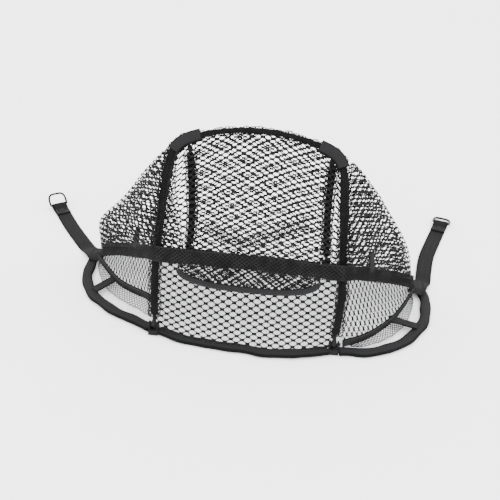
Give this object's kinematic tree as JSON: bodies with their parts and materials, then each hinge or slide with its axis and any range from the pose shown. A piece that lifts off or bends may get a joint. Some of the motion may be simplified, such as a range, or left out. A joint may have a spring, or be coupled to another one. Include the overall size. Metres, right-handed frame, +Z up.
{
  "type": "folding crab trap",
  "caption": "Folding netted crab trap: a knotless-net hood on a spring-wire front bow and two prop rods, over a taped base hoop with a strap and D-ring at each side.",
  "frame": {"origin": "middle of the floor net's underside, on the ground, midway between the two strap corners in X", "axes": "+Z up; -Y towards the low front wall with the bait pocket; +X towards the right-hand strap corner as seen from the front"},
  "size_m": [0.729, 0.4373, 0.2608],
  "materials": {
    "net": "matte black knotless polyester netting",
    "fine_net": "fine grey monofilament mesh",
    "webbing": "black woven polypropylene webbing and binding tape",
    "wire": "black-coated spring steel",
    "clip_plastic": "black moulded nylon",
    "ring_metal": "black-nickel plated wire"
  },
  "bodies": {
    "base": {"front_hoop_wire": "wire", "back_hoop_wire": "wire", "left_hoop_ferrule": "wire", "right_hoop_ferrule": "wire", "front_hem": "webbing", "right_hem": "webbing", "back_right_hem": "webbing", "back_hem": "webbing", "back_left_hem": "webbing", "left_hem": "webbing", "floor_net": "fine_net", "front_left_hinge_clip": "clip_plastic", "front_left_hinge_pin": "wire", "front_right_hinge_clip": "clip_plastic", "front_right_hinge_pin": "wire", "back_left_hinge_clip": "clip_plastic", "back_left_hinge_pin": "wire", "back_right_hinge_clip": "clip_plastic", "back_right_hinge_pin": "wire", "waist_band": "net", "lower_front_net": "net", "lower_left_net": "net", "lower_right_net": "net", "hood_front_net": "net", "back_net": "net", "hood_left_net": "net", "hood_right_net": "net", "bait_pocket_net": "net", "bait_pocket_trim": "webbing", "left_entrance_webbing": "webbing", "left_entrance_divider": "webbing", "left_entrance_flap": "net", "right_entrance_webbing": "webbing", "right_entrance_divider": "webbing", "right_entrance_flap": "net", "left_band_tab": "webbing", "right_band_tab": "webbing", "left_corner_gusset": "webbing", "right_corner_gusset": "webbing"},
    "front_bow": {"front_bow": "wire", "front_right_sleeve": "net", "front_top_sleeve": "net", "front_left_sleeve": "net", "right_corner_patch": "webbing", "left_corner_patch": "webbing"},
    "left_prop": {"left_prop_rod": "wire", "left_prop_sleeve": "net", "left_prop_tip": "clip_plastic"},
    "right_prop": {"right_prop_rod": "wire", "right_prop_sleeve": "net", "right_prop_tip": "clip_plastic"},
    "left_strap": {"left_strap": "webbing"},
    "left_ring": {"left_ring": "ring_metal"},
    "right_strap": {"right_strap": "webbing"},
    "right_ring": {"right_ring": "ring_metal"}
  },
  "joints": [
    {"name": "front_bow_fold", "type": "hinge", "parent": "base", "child": "front_bow", "pos_m": [0, -0.102, 0.014], "axis": [-1, 0, 0], "range_deg": [0, 56], "deforming": ["waist_band", "lower_front_net", "lower_left_net", "lower_right_net", "hood_front_net", "back_net", "hood_left_net", "hood_right_net", "bait_pocket_net", "bait_pocket_trim", "left_entrance_webbing", "left_entrance_divider", "left_entrance_flap", "right_entrance_webbing", "right_entrance_divider", "right_entrance_flap", "left_band_tab", "right_band_tab"]},
    {"name": "left_prop_fold", "type": "hinge", "parent": "base", "child": "left_prop", "pos_m": [-0.112, 0.103, 0.014], "axis": [1, 0, 0], "range_deg": [0, 71]},
    {"name": "right_prop_fold", "type": "hinge", "parent": "base", "child": "right_prop", "pos_m": [0.112, 0.103, 0.014], "axis": [1, 0, 0], "range_deg": [0, 71]},
    {"name": "left_strap_lift", "type": "hinge", "parent": "base", "child": "left_strap", "pos_m": [-0.278, 0.082, 0.0009], "axis": [0.8209, 0.5711, 0], "range_deg": [0, 90]},
    {"name": "left_ring_swing", "type": "hinge", "parent": "left_strap", "child": "left_ring", "pos_m": [-0.371, 0.211, 0.0041], "axis": [0.8036, 0.5952, 0], "range_deg": [-51, 95]},
    {"name": "right_strap_lift", "type": "hinge", "parent": "base", "child": "right_strap", "pos_m": [0.279, 0.082, 0.0009], "axis": [0.9914, -0.1305, 0], "range_deg": [0, 90]},
    {"name": "right_ring_swing", "type": "hinge", "parent": "right_strap", "child": "right_ring", "pos_m": [0.32, 0.283, 0.0041], "axis": [0.9651, -0.2617, 0], "range_deg": [0, 140]}
  ],
  "couplings": [
    {"joint": "left_prop_fold", "follows": "front_bow_fold", "ratio": 1.26},
    {"joint": "right_prop_fold", "follows": "front_bow_fold", "ratio": 1.26}
  ]
}
